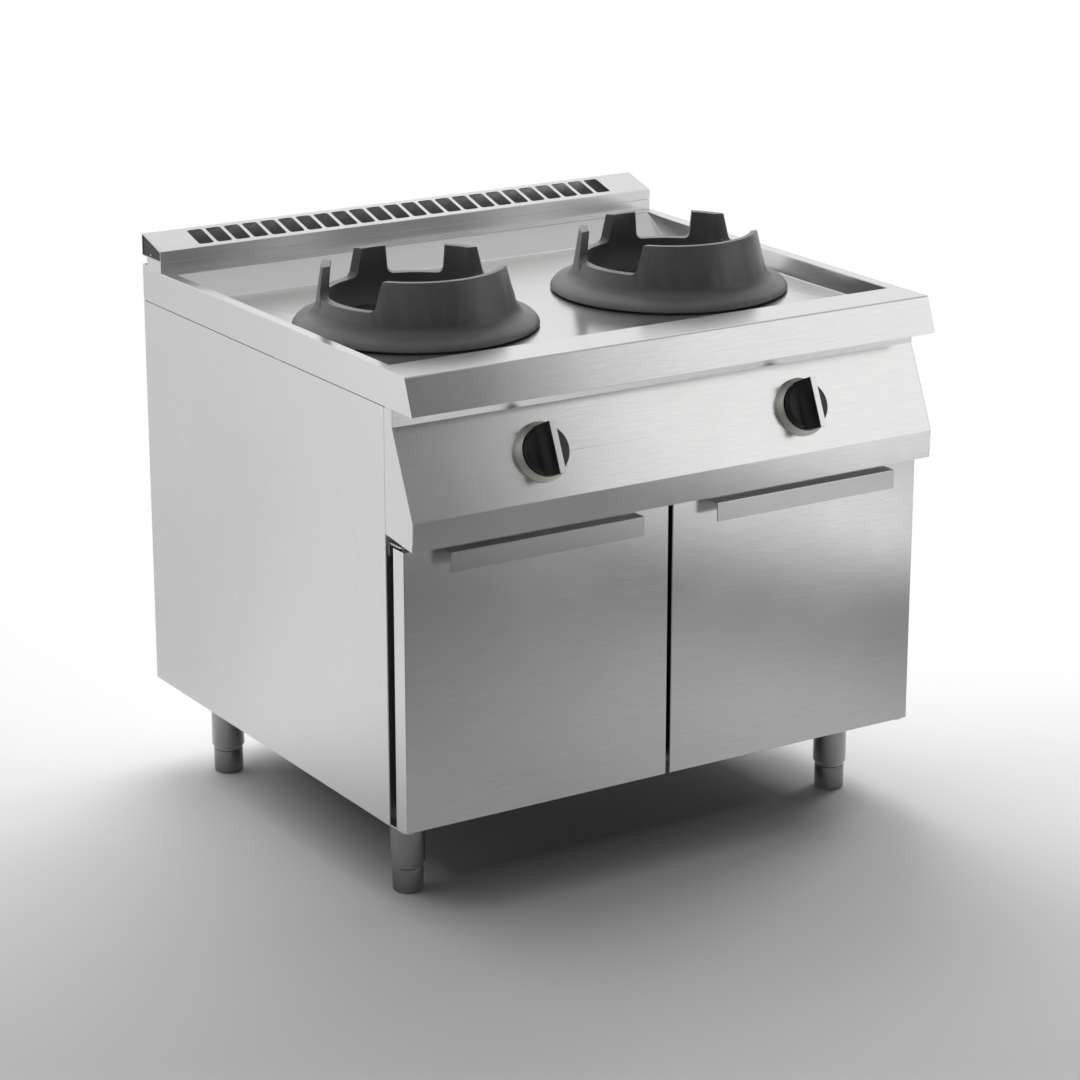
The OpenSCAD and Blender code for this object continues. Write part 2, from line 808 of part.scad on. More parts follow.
// Pilots: a bracket on the bowl with a hood and a flame probe
pilot_offset = 66;
pilot_r = 6;
pilot_bottom = -34;
pilot_top = 4;
probe_r = 2.2;
probe_side = 10;
bracket_w = 30;
bracket_t = 2;
bracket_rise = 2;
bracket_z = bowl_top - bowl_rim_h + bracket_rise;
pilot_reach = pilot_offset * sqrt(2);
pilot_pipe_r = 2.5;
module pilot_burners() {
  color("goldenrod") for (x = [-burner_x, burner_x]) at_burner(x) rotate([0, 0, -45]) difference() {
    union() {
      translate([bowl_r - over, -bracket_w / 2, bracket_z])
        cube([pilot_reach + pilot_r + over - bowl_r, bracket_w, bracket_t]);
      translate([pilot_reach, 0, pilot_bottom]) cylinder(h = pilot_top - pilot_bottom, r = pilot_r);
      translate([pilot_reach, probe_side, bracket_z]) cylinder(h = pilot_top - bracket_z, r = probe_r);
    }
    translate([0, 0, bowl_bottom]) cylinder(h = bowl_h + over, r = bowl_r);
  }
}
pilot_step = 26;
pilot_clear = 59.4;
pilot_drop = 60;
module pilot_pipes() {
  color("peru") for (x = [-burner_x, burner_x]) pipe([
    panel_point(x + tap_r + pilot_boss_l, 0, -manifold_h),
    panel_point(x + tap_r + pilot_step, 0, -manifold_h),
    [x + pilot_offset, yb(d_floor_front - pilot_clear), z_basin - pilot_drop],
    [x + pilot_offset, yb(burner_d + pilot_offset), z_basin - pilot_drop],
    [x + pilot_offset, yb(burner_d + pilot_offset), z_basin + pilot_bottom]
  ], pilot_pipe_r);
}

// Wok rings: a bell-shaped foot, a wide front wall and three thicker prongs
ring_floor = ring_gap;
ring_top = ring_h - ring_gap;
ring_edge = 2;
bell_rise = 9;
bell_reach = 15;
bell_steps = 10;
ring_bore_top = ring_top_r - wall_t;
ring_foot_in = 47;
ring_foot_flat = 8;
neck_in = 17;
cone_lean = (ring_neck_r - ring_top_r) / (ring_top - ring_neck_h);
prong_out = prong_t - wall_t;
bell = [
  [ring_r, ring_edge],
  [ring_r, ring_edge + bell_rise],
  [ring_neck_r + cone_lean * bell_reach, ring_neck_h - bell_reach],
  [ring_neck_r, ring_neck_h]
];
function bezier(p, t) = pow(1 - t, 3) * p[0] + 3 * pow(1 - t, 2) * t * p[1]
  + 3 * (1 - t) * pow(t, 2) * p[2] + pow(t, 3) * p[3];
module ring_outline(proud) {
  polygon(concat(
    [[ring_r - ring_foot_in, 0], [ring_r - ring_edge, 0]],
    [for (i = [0 : bell_steps]) bezier(bell, i / bell_steps)],
    [[ring_top_r + proud, ring_top], [ring_bore_top, ring_top], [ring_neck_r - neck_in, ring_neck_h]]
  ));
}
prong_angles = [30, 90, 150];
wall_center = 270;
notch_round = 11;
notch_lean = 4;
notch_steps = 6;
mid_r = ring_top_r - wall_t / 2;
notches = [
  [prong_angles[0] + prong_angle / 2, prong_angles[1] - prong_angle / 2],
  [prong_angles[1] + prong_angle / 2, prong_angles[2] - prong_angle / 2],
  [prong_angles[2] + prong_angle / 2, wall_center - wall_angle / 2],
  [wall_center + wall_angle / 2, 360 + prong_angles[0] - prong_angle / 2]
];
// Half of a notch outline: a rounded lower corner and a side that leans outwards
function notch_flat(w) = w - notch_h * tan(notch_lean) - notch_round * tan(45 - notch_lean / 2);
function notch_side(w) = let (c = notch_flat(w)) concat(
  [for (i = [0 : notch_steps]) let (a = -90 + (90 - notch_lean) * i / notch_steps)
    [c + notch_round * cos(a), notch_round * (1 + sin(a))]],
  [[w + notch_round * tan(notch_lean), notch_h + notch_round]]
);
module notch(span) {
  side = notch_side(mid_r * sin((span[1] - span[0]) / 2));
  rotate([0, 0, (span[0] + span[1]) / 2 - 90]) translate([0, 0, ring_top - notch_h]) rotate([90, 0, 180])
    linear_extrude(ring_r)
      polygon(concat(side, [for (i = [len(side) - 1 : -1 : 0]) [-side[i][0], side[i][1]]]));
}
ring_feet = 4;
ring_foot_r = 7;
prong_box = 2 * mid_r * sin(prong_angle);
module wok_ring(x) {
  color(cast) at_burner(x) translate([0, 0, ring_floor]) {
    difference() {
      union() {
        rotate_extrude($fn = 144) ring_outline(0);
        intersection() {
          rotate_extrude($fn = 144) ring_outline(prong_out);
          for (a = prong_angles) rotate([0, 0, a])
            translate([mid_r / 2, -prong_box / 2, ring_neck_h]) cube([ring_r, prong_box, ring_h]);
        }
      }
      for (span = notches) notch(span);
    }
    for (i = [0 : ring_feet - 1]) rotate([0, 0, 45 + i * 360 / ring_feet])
      translate([ring_r - ring_foot_in / 2, 0, gap - ring_gap])
        cylinder(h = ring_gap - gap, r = ring_foot_r);
  }
}
module wok_ring_left() wok_ring(-burner_x);
module wok_ring_right() wok_ring(burner_x);

// Doors, drawn on the right and mirrored for the left
door_floor_gap = 0.5;
door_x0 = door_gap / 2;
door_x1 = width / 2 - door_inset;
door_z0 = z_base + door_floor_gap;
door_z1 = z_foot - door_top_gap;
d_door = side_depth + door_back_gap;
d_front = d_door + door_t;
pivot_x = door_x1 - pivot_inset;
d_pivot = d_front - door_t / 2;
pin_play = 1;
module at_pivot(z) translate([pivot_x, yb(d_pivot), z]) children();
module door_right_outer() {
  color(steel) difference() {
    block(door_x0, door_x1, d_door, d_front, door_z0, door_z1);
    block(door_x0 + inner_sheet, door_x1 - inner_sheet, d_door - over, d_front - inner_sheet,
      door_z0 + inner_sheet, door_z1 - inner_sheet);
    at_pivot(door_z0 - over) cylinder(h = door_z1 - door_z0 + 2 * over, r = pin_r + pin_play);
  }
}
module door_left_outer() left_half() door_right_outer();

module door_right_inner() {
  color("silver") block(door_x0 + inner_sheet, door_x1 - inner_sheet, d_door, d_door + inner_sheet,
    door_z0 + inner_sheet, door_z1 - inner_sheet);
}
module door_left_inner() left_half() door_right_inner();

bush_r = 8;
bush_h = 20;
catch_inset = 24;
catch_w = 36;
catch_h = 12;
strike_t = 1;
strike_drop = 3;
module bush(z) at_pivot(z) difference() {
  cylinder(h = bush_h, r = bush_r);
  translate([0, 0, -over]) cylinder(h = bush_h + 2 * over, r = pin_r + fit);
}
module door_right_fittings() {
  color("goldenrod") {
    bush(door_z0 + inner_sheet);
    bush(door_z1 - inner_sheet - bush_h);
  }
  color("silver") block(door_x0 + catch_inset, door_x0 + catch_inset + catch_w, d_door - strike_t, d_door,
    door_z1 - strike_drop - catch_h, door_z1 - strike_drop);
}
module door_left_fittings() left_half() door_right_fittings();

module door_catches() {
  color("black") for (side = [0, 1]) mirror([side, 0, 0])
    block(door_x0 + catch_inset, door_x0 + catch_inset + catch_w, d_rail, d_door - strike_t - 2 * gap,
      door_z1 - strike_drop - catch_h, door_z1 - strike_drop);
}

handle_drop = 3;
handle_t = 2;
handle_x = (door_x0 + door_x1) / 2;
handle_z = door_z1 - handle_drop;
module handle_right() {
  color("silver") along_x(handle_x - handle_l / 2, handle_x + handle_l / 2) polygon([
    [yb(d_front), handle_z],
    [yb(d_front + handle_out), handle_z],
    [yb(d_front + handle_out), handle_z - handle_face_h],
    [yb(d_front + handle_out - handle_t), handle_z - handle_face_h],
    [yb(d_front + handle_out - handle_t), handle_z - handle_t],
    [yb(d_front), handle_z - handle_t]
  ]);
}
module handle_left() left_half() handle_right();

// Hinge plates with their pins
plate_t = 3;
plate_half = 11;
plate_x0 = pivot_x - plate_half;
plate_x1 = pivot_x + plate_half;
plate_seat = 40;
pin_l = 17;
top_play = 3;
tab_h = 20;
hinge_top = door_z1 + top_play;
module hinge_plates_right() {
  color("silver") {
    block(plate_x0, plate_x1, side_depth - plate_seat, d_pivot, z_base - plate_t, z_base);
    at_pivot(z_base - plate_t) cylinder(h = plate_t, r = plate_half);
    at_pivot(z_base - plate_t) cylinder(h = plate_t + pin_l, r = pin_r);
    block(plate_x0, plate_x1, side_depth, d_pivot, hinge_top, hinge_top + plate_t);
    block(plate_x0, plate_x1, side_depth, side_depth + plate_t, hinge_top - tab_h, hinge_top);
    at_pivot(hinge_top) cylinder(h = plate_t, r = plate_half);
    at_pivot(hinge_top - pin_l) cylinder(h = plate_t + pin_l, r = pin_r);
  }
}
module hinge_plates_left() left_half() hinge_plates_right();

// Legs: a tube with a tapered end around a threaded plug, and the screw feet
leg_plate_t = 4;
leg_plate_r = 40;
leg_wall = 3;
taper_h = 5;
collar_end_h = 3;
plug_h = 18;
stud_r = 8;
stud_l = 70;
foot_edge = 4;
foot_play = 0.6;
leg_x = width / 2 - leg_side_inset;
d_leg_front = side_depth - leg_front_inset;
module leg() {
  z_collar = foot_h + foot_play;
  difference() {
    rotate_extrude() polygon([
      [0, z_collar],
      [foot_r, z_collar],
      [foot_r, z_collar + collar_end_h],
      [leg_r, z_collar + collar_end_h + taper_h],
      [leg_r, z_base - leg_plate_t],
      [leg_plate_r, z_base - leg_plate_t],
      [leg_plate_r, z_base],
      [0, z_base]
    ]);
    translate([0, 0, z_collar + plug_h])
      cylinder(h = z_base - leg_plate_t - z_collar - plug_h, r = leg_r - leg_wall);
    translate([0, 0, z_collar - over]) cylinder(h = plug_h + 2 * over, r = stud_r + fit);
  }
}
module legs() {
  color("silver") for (x = [-leg_x, leg_x], d = [d_leg_front, leg_back_inset])
    translate([x, yb(d), 0]) leg();
}
module foot(x, d) {
  color("gray") translate([x, yb(d), 0]) {
    rotate_extrude() polygon([
      [0, 0],
      [foot_r - foot_edge, 0],
      [foot_r - foot_edge / 4, foot_edge / 4],
      [foot_r, foot_edge],
      [foot_r, foot_h],
      [stud_r, foot_h],
      [stud_r, foot_h + stud_l],
      [0, foot_h + stud_l]
    ]);
  }
}
module foot_front_left() foot(-leg_x, d_leg_front);
module foot_front_right() foot(leg_x, d_leg_front);
module foot_back_left() foot(-leg_x, leg_back_inset);
module foot_back_right() foot(leg_x, leg_back_inset);

// Screw heads on the hinge plates and on the flue's end plugs
head_r = 4;
head_h = 1.6;
screw_shares = [0.25, 0.75];
plug_screw_d = 32;
plug_screw_z = 5;
module screws() {
  color("silver") for (side = [0, 1]) mirror([side, 0, 0]) {
    for (share = screw_shares)
      translate([pivot_x, yb(side_depth - plate_seat * share), z_base - plate_t - head_h])
        cylinder(h = head_h, r = head_r);
    translate([pivot_x, yb(side_depth + plate_t + head_h), hinge_top - tab_h / 2]) rotate([-90, 0, 0])
      cylinder(h = head_h, r = head_r);
    translate([width / 2 - plug_inset, yb(plug_screw_d), z_riser + plug_screw_z]) rotate([0, 90, 0])
      cylinder(h = plug_inset - gap, r = head_r / 2);
  }
}

side_panel_left();
side_panel_right();
back_panel();
base_shelf();
cross_rail();
heat_shield();
worktop();
basin_pan();
flue_riser();
flue_cover();
flue_end_plugs();
flue_duct();
control_panel();
panel_cheek_left();
panel_cheek_right();
knob_bezel_left();
knob_bezel_right();
knob_left();
knob_right();
knob_pointer_left();
knob_pointer_right();
tap_spindle_left();
tap_spindle_right();
tap_plug_left();
tap_plug_right();
gas_tap_left();
gas_tap_right();
gas_manifold();
gas_supply_pipe();
gas_inlet();
injector_pipes();
injectors();
pilot_burners();
pilot_pipes();
burner_body_left();
burner_body_right();
burner_crown_left();
burner_crown_right();
burner_cap_left();
burner_cap_right();
burner_straps();
wok_ring_left();
wok_ring_right();
door_left_outer();
door_right_outer();
door_left_inner();
door_right_inner();
door_left_fittings();
door_right_fittings();
handle_left();
handle_right();
hinge_plates_left();
hinge_plates_right();
door_catches();
legs();
foot_front_left();
foot_front_right();
foot_back_left();
foot_back_right();
screws();
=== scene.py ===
import json
import math

import bpy
from mathutils import Matrix, Vector

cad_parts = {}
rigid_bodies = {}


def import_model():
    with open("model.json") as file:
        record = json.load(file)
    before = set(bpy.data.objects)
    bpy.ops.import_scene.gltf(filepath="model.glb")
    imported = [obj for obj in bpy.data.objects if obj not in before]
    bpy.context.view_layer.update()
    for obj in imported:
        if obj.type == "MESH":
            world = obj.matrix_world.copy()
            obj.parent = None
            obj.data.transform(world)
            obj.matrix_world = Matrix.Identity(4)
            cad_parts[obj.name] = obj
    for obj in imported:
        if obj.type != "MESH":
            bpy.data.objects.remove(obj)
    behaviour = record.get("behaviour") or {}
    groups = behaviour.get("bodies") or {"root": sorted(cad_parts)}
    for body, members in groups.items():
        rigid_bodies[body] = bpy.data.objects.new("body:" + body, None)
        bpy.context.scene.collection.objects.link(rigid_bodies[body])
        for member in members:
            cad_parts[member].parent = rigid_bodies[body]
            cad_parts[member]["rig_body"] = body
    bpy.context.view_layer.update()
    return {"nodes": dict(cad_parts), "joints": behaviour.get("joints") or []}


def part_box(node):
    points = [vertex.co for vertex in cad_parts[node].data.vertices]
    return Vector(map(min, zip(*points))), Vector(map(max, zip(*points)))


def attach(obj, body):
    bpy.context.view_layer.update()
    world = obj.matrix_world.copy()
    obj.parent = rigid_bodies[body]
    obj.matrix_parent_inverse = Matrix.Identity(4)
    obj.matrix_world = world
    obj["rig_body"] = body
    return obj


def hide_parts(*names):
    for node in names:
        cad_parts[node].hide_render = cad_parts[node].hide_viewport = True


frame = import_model()
joints = {joint["name"]: joint for joint in frame["joints"]}
boxes = {node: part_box(node) for node in frame["nodes"]}   # lowest and highest corner of each node
sides = ("left", "right")
print("frame loaded:", len(frame["nodes"]), "nodes")


# Helpers for shaping

def deselectAll():
    if bpy.context.mode != "OBJECT":
        bpy.ops.object.mode_set(mode="OBJECT")
    bpy.ops.object.select_all(action="DESELECT")


def makeActive(piece):
    deselectAll()
    piece.select_set(True)
    bpy.context.view_layer.objects.active = piece


def startEdit(piece, everything=True):
    makeActive(piece)
    bpy.ops.object.mode_set(mode="EDIT")
    bpy.ops.mesh.select_mode(type="VERT")
    bpy.ops.mesh.select_all(action="SELECT" if everything else "DESELECT")


def applyModifier(piece, kind, **values):
    makeActive(piece)
    modifier = piece.modifiers.new(kind.title(), kind)
    for name, value in values.items():
        setattr(modifier, name, value)
    bpy.ops.object.modifier_apply(modifier=modifier.name)


def smoothByAngle(piece, degrees=32):
    makeActive(piece)
    bpy.ops.object.shade_smooth_by_angle(angle=math.radians(degrees))
    deselectAll()


def selectEdges(piece, test):
    # test gets both end points of an edge; the piece is in edit mode before and after
    bpy.ops.object.mode_set(mode="OBJECT")
    mesh = piece.data
    for part in (mesh.vertices, mesh.edges, mesh.polygons):
        part.foreach_set("select", [False] * len(part))
    found = 0
    for edge in mesh.edges:
        a, b = (mesh.vertices[i].co for i in edge.vertices)
        if test(a, b):
            edge.select = True
            found += 1
    bpy.ops.object.mode_set(mode="EDIT")
    bpy.ops.mesh.select_mode(type="EDGE")
    return found


def mergedCopy(node, joinDistance=0.00002, flatAngle=0.6):
    # CAD meshes are loose triangles: the copy is joined up and its flat faces made whole
    source = frame["nodes"][node]
    piece = bpy.data.objects.new(node + "_shaped", source.data.copy())
    bpy.context.scene.collection.objects.link(piece)
    startEdit(piece)
    bpy.ops.mesh.remove_doubles(threshold=joinDistance)
    bpy.ops.mesh.dissolve_limited(angle_limit=math.radians(flatAngle))
    deselectAll()
    return piece


def bevelFold(piece, test, radius, segments=3):
    # rounds the edges that pass the test
    startEdit(piece, everything=False)
    if selectEdges(piece, test):
        bpy.ops.mesh.bevel(offset=radius, segments=segments, affect="EDGES", clamp_overlap=True)
    deselectAll()


def breakEdges(piece, width, degrees=35, segments=2):
    # takes the sharpness off every edge that turns by more than this angle
    applyModifier(piece, "BEVEL", width=width, segments=segments, limit_method="ANGLE",
                  angle_limit=math.radians(degrees), use_clamp_overlap=True, harden_normals=False)


def flattenShading(piece, flatArea=0.0003):
    # big faces and faces square to an axis keep their own normals, and only the bends shade round
    applyModifier(piece, "WEIGHTED_NORMAL", mode="FACE_AREA", weight=90, keep_sharp=True)
    mesh = piece.data
    normals = [corner.vector.copy() for corner in mesh.corner_normals]
    for face in mesh.polygons:
        if face.area > flatArea or max(abs(value) for value in face.normal) > 0.99999:
            for corner in face.loop_indices:
                normals[corner] = face.normal.copy()
    mesh.normals_split_custom_set(normals)


def finishNode(piece, node, material, flat=True):
    smoothByAngle(piece)
    if flat:
        flattenShading(piece)
    piece.data.materials.clear()
    piece.data.materials.append(material)
    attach(piece, frame["nodes"][node]["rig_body"])
    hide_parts(node)
    return piece


def turnedProfile(name, points, steps=96):
    # a vertex is drawn out along the profile (radius, height) and spun around Z
    deselectAll()
    bpy.ops.mesh.primitive_plane_add(size=1, location=(0, 0, 0))
    piece = bpy.context.object
    piece.name = name
    bpy.ops.object.mode_set(mode="EDIT")
    bpy.ops.mesh.select_all(action="SELECT")
    bpy.ops.mesh.merge(type="CENTER")
    bpy.ops.transform.translate(value=(points[0][0], 0, points[0][1]))
    for a, b in zip(points, points[1:]):
        bpy.ops.mesh.extrude_region_move(
            TRANSFORM_OT_translate={"value": (b[0] - a[0], 0, b[1] - a[1])})
    bpy.ops.mesh.select_all(action="SELECT")
    bpy.ops.mesh.spin(steps=steps, angle=math.tau, center=(0, 0, 0), axis=(0, 0, 1))
    bpy.ops.mesh.select_all(action="SELECT")
    bpy.ops.mesh.remove_doubles(threshold=0.00001)
    bpy.ops.mesh.normals_make_consistent(inside=False)
    deselectAll()
    return piece


def arcPoints(cx, cz, radius, start, end, steps=5):
    return [(cx + radius * math.cos(math.radians(start + (end - start) * i / steps)),
             cz + radius * math.sin(math.radians(start + (end - start) * i / steps)))
            for i in range(steps + 1)]


def copyPiece(piece, name, x, y):
    twin = piece.copy()
    twin.data = piece.data.copy()
    twin.name = name
    bpy.context.scene.collection.objects.link(twin)
    twin.data.transform(Matrix.Translation((x, y, 0)))
    twin.data.update()
    return twin


# Helpers for materials

def newMaterial(name):
    material = bpy.data.materials.new(name)
    material.use_nodes = True
    nodes = material.node_tree.nodes
    return material, nodes, material.node_tree.links, nodes["Principled BSDF"]


def stretchedNoise(nodes, links, scale, detail=3, place=(0, 0, 0)):
    coords = nodes.new("ShaderNodeTexCoord")
    mapping = nodes.new("ShaderNodeMapping")
    mapping.inputs["Location"].default_value = place
    mapping.inputs["Scale"].default_value = scale
    noise = nodes.new("ShaderNodeTexNoise")
    noise.inputs["Scale"].default_value = 1
    noise.inputs["Detail"].default_value = detail
    links.new(coords.outputs["Object"], mapping.inputs["Vector"])
    links.new(mapping.outputs["Vector"], noise.inputs["Vector"])
    return noise.outputs["Fac"]


def spread(nodes, links, value, low, high, fromLow=0.3, fromHigh=0.7):
    ramp = nodes.new("ShaderNodeMapRange")
    ramp.inputs["From Min"].default_value = fromLow
    ramp.inputs["From Max"].default_value = fromHigh
    ramp.inputs["To Min"].default_value = low
    ramp.inputs["To Max"].default_value = high
    links.new(value, ramp.inputs["Value"])
    return ramp.outputs["Result"]


def tint(nodes, links, value, dark, light):
    mix = nodes.new("ShaderNodeMix")
    mix.data_type = "RGBA"
    mix.inputs["A"].default_value = (*dark, 1)
    mix.inputs["B"].default_value = (*light, 1)
    links.new(value, mix.inputs["Factor"])
    return mix.outputs["Result"]


def setInput(links, socket, value):
    # value is a plain number or another node's output
    if isinstance(value, (int, float)):
        socket.default_value = value
    else:
        links.new(value, socket)


def joinUp(nodes, links, operation, a, b):
    node = nodes.new("ShaderNodeMath")
    node.operation = operation
    setInput(links, node.inputs[0], a)
    setInput(links, node.inputs[1], b)
    return node.outputs["Value"]


def blend(nodes, links, factor, a, b):
    mix = nodes.new("ShaderNodeMix")
    mix.data_type = "FLOAT"
    for value, socket in ((factor, "Factor"), (a, "A"), (b, "B")):
        setInput(links, mix.inputs[socket], value)
    return mix.outputs["Result"]


def addBump(nodes, links, shader, height, depth, before=None):
    bump = nodes.new("ShaderNodeBump")
    bump.inputs["Strength"].default_value = 1
    bump.inputs["Distance"].default_value = depth
    links.new(height, bump.inputs["Height"])
    if before is not None:
        links.new(before, bump.inputs["Normal"])
    links.new(bump.outputs["Normal"], shader.inputs["Normal"])
    return bump.outputs["Normal"]


steel = {
    "grainLength": 22,   # streaks per metre along the grain
    "grainWidth": 820,   # streaks per metre across it
    "grainDepth": 0.000006,
    "finer": 2.3,        # how much finer the streaks in the roughness are
    "streaks": 0.025,    # how far they change the roughness, and the broad blotches
    "blotches": 0.02,
    "blotchScale": 5,
}


def brushedSteel(name, light, roughness, grainAxis="X", variation=0.07):
    material, nodes, links, shader = newMaterial(name)
    across = steel["grainWidth"]
    scale = [across, across, across]
    scale["XYZ".index(grainAxis)] = steel["grainLength"]
    grain = stretchedNoise(nodes, links, scale, detail=4)
    finer = stretchedNoise(nodes, links, [s * steel["finer"] for s in scale], detail=2, place=(3, 5, 7))
    blotch = stretchedNoise(nodes, links, [steel["blotchScale"]] * 3, detail=2)
    dark = [c * (1 - variation) for c in light]
    colour = tint(nodes, links, spread(nodes, links, grain, 0, 1), dark, light)
    links.new(colour, shader.inputs["Base Color"])
    broad = spread(nodes, links, blotch, roughness - steel["blotches"], roughness + steel["blotches"])
    fine = spread(nodes, links, finer, -steel["streaks"], steel["streaks"])
    links.new(joinUp(nodes, links, "ADD", broad, fine), shader.inputs["Roughness"])
    shader.inputs["Metallic"].default_value = 1
    addBump(nodes, links, shader, grain, steel["grainDepth"])
    return material


iron = {"grain": 900, "lumps": 160, "patches": 14, "darker": 0.82, "lumpDepth": 1.6, "uneven": 0.05}


def castIron(name, light, roughness, depth):
    material, nodes, links, shader = newMaterial(name)
    grain = stretchedNoise(nodes, links, (iron["grain"],) * 3, detail=5)
    lumps = stretchedNoise(nodes, links, (iron["lumps"],) * 3, detail=2, place=(1, 2, 3))
    patches = stretchedNoise(nodes, links, (iron["patches"],) * 3, detail=3, place=(5, 1, 2))
    dark = [c * iron["darker"] for c in light]
    colour = tint(nodes, links, spread(nodes, links, patches, 0, 1), dark, light)
    links.new(colour, shader.inputs["Base Color"])
    uneven = spread(nodes, links, lumps, roughness - iron["uneven"], roughness + iron["uneven"])
    links.new(uneven, shader.inputs["Roughness"])
    first = addBump(nodes, links, shader, lumps, depth * iron["lumpDepth"])
    addBump(nodes, links, shader, grain, depth, before=first)
    shader.inputs["Specular IOR Level"].default_value = 0.5
    return material


def smoothPlastic(name, light, roughness, grainScale=1300):
    material, nodes, links, shader = newMaterial(name)
    grain = stretchedNoise(nodes, links, (grainScale,) * 3, detail=3)
    patches = stretchedNoise(nodes, links, (60, 60, 60), detail=2)
    dark = [c * 0.8 for c in light]
    colour = tint(nodes, links, spread(nodes, links, patches, 0, 1), dark, light)
    links.new(colour, shader.inputs["Base Color"])
    uneven = spread(nodes, links, patches, roughness - 0.03, roughness + 0.04)
    links.new(uneven, shader.inputs["Roughness"])
    addBump(nodes, links, shader, grain, 0.00001)
    return material


lathe = {
    "pitch": 0.0006,
    "perScale": 20,      # rings that the wave texture draws per metre at a scale of 1
    "waver": 0.6,
    "darker": 0.86,
    "depth": 0.00002,
}


def turnedMetal(name, light, roughness, center, turn):
    # fine lathe rings around an axis through center
    material, nodes, links, shader = newMaterial(name)
    coords = nodes.new("ShaderNodeTexCoord")
    mapping = nodes.new("ShaderNodeMapping")
    mapping.vector_type = "TEXTURE"
    mapping.inputs["Location"].default_value = center
    mapping.inputs["Rotation"].default_value = turn
    links.new(coords.outputs["Object"], mapping.inputs["Vector"])
    wave = nodes.new("ShaderNodeTexWave")
    wave.wave_type = "RINGS"
    wave.rings_direction = "Z"
    wave.inputs["Scale"].default_value = 1 / lathe["pitch"] / lathe["perScale"]
    wave.inputs["Distortion"].default_value = lathe["waver"]
    wave.inputs["Detail"].default_value = 2
    links.new(mapping.outputs["Vector"], wave.inputs["Vector"])
    rings = wave.outputs["Fac"]
    dark = [c * lathe["darker"] for c in light]
    links.new(tint(nodes, links, rings, dark, light), shader.inputs["Base Color"])
    uneven = spread(nodes, links, rings, roughness - 0.04, roughness + 0.05, 0, 1)
    links.new(uneven, shader.inputs["Roughness"])
    shader.inputs["Metallic"].default_value = 1
    addBump(nodes, links, shader, rings, lathe["depth"])
    return material


satin = {
    "panel": (0.745, 0.745, 0.74),
    # painted shade: the handle is a darker copy of the panel steel
    "handle": (0.56, 0.56, 0.555),
    # painted shade: leg and foot are darker copies of the panel steel, standing in for the shade under the
    # range and the dark floor that they mirror
    "leg": (0.36, 0.36, 0.355),
    "foot": (0.24, 0.24, 0.236),
    "inner": (0.6, 0.6, 0.59),
    "pipe": (0.58, 0.58, 0.56),
    "pointer": (0.83, 0.83, 0.83),
    "brass": (0.72, 0.54, 0.26),
    "roughness": 0.21,
}
panelSteel = brushedSteel("panel steel", satin["panel"], satin["roughness"], "X")
sideSteel = brushedSteel("side panel steel", satin["panel"], satin["roughness"] + 0.03, "Z")
handleSteelPaintedShade = brushedSteel("handle steel with painted shade", satin["handle"], 0.23, "X", 0.06)
legSteelPaintedShade = brushedSteel("leg steel with painted shade", satin["leg"], 0.23, "Z")
flueSteel = brushedSteel("flue steel", satin["panel"], 0.34, "X")
footSteelPaintedShade = brushedSteel("foot steel with painted shade", satin["foot"], 0.21, "Z")
innerSteel = brushedSteel("inner sheet steel", satin["inner"], 0.38, "X", 0.06)
pipeSteel = brushedSteel("pipe steel", satin["pipe"], 0.33, "X", 0.08)
pointerMetal = brushedSteel("pointer aluminium", satin["pointer"], 0.34, "Z", 0.02)
brass = brushedSteel("tap brass", satin["brass"], 0.3, "X", 0.1)
ringIron = castIron("ring cast iron", (0.175, 0.175, 0.179), 0.36, 0.00005)
burnerIron = castIron("burner cast iron", (0.05, 0.05, 0.05), 0.62, 0.00009)
knobBlack = smoothPlastic("black knob", (0.012, 0.012, 0.013), 0.34)
plugBlack = smoothPlastic("dark enamel", (0.045, 0.045, 0.045), 0.5, 700)
catchBlack = smoothPlastic("catch plastic", (0.02, 0.02, 0.02), 0.5)
print("materials made")


# Knob axes, from the taps' joints

knobAxes = {}
for side in sides:
    joint = joints[f"tap_{side}_turn"]
    outward = Vector(joint["axis"]).normalized()
    up = Vector((0, outward.z, -outward.y)).normalized()
    across = up.cross(outward)
    basis = Matrix((across, up, outward)).transposed().to_4x4()
    knobAxes[side] = Matrix.Translation(Vector(joint["pos_m"])) @ basis
knobTurn = knobAxes["left"].to_euler()


# Sheet metal: the folds get their bend radius and the cut edges are broken

folds = {
    "bend": 0.0016,         # outer radius of a fold
    "door": 0.0014,
    "handle": 0.0019,
    "controlPanel": 0.0018,
    "panBend": 0.006,       # radius at the foot of the basin's walls
    "weld": 0.0009,         # ground corner welds
    "cut": 0.0003,          # broken cut edges
    "shadowGap": 0.0012,    # the dark line between the worktop and a side panel
    "wholeWidth": 0.9,      # a fold across the whole range is longer than this
    "halfWidth": 0.3,       # and one across a door or a handle than this
    "panelSetback": 0.0245, # the control panel's bends lie this far in front of the side panels
    "panelTop": 0.815,      # and below this height
}
topLow, topHigh = boxes["worktop"]
sideLow, sideHigh = boxes["side_panel_right"]
panHigh = boxes["basin_pan"][1]
closeEnough = 0.0006   # points of one fold lie within this of each other's plane


def same(a, b, tolerance=closeEnough):
    return abs(a - b) < tolerance


def bothAt(a, b, axis, value):
    return same(a[axis], value) and same(b[axis], value)


def splitBigFaces(piece):
    # a face that runs around an opening is cut up again, so that it can't close the opening
    startEdit(piece, everything=False)
    bpy.ops.mesh.select_mode(type="FACE")
    bpy.ops.mesh.select_face_by_sides(number=4, type="GREATER")
    bpy.ops.mesh.quads_convert_to_tris(quad_method="BEAUTY", ngon_method="CLIP")
    deselectAll()


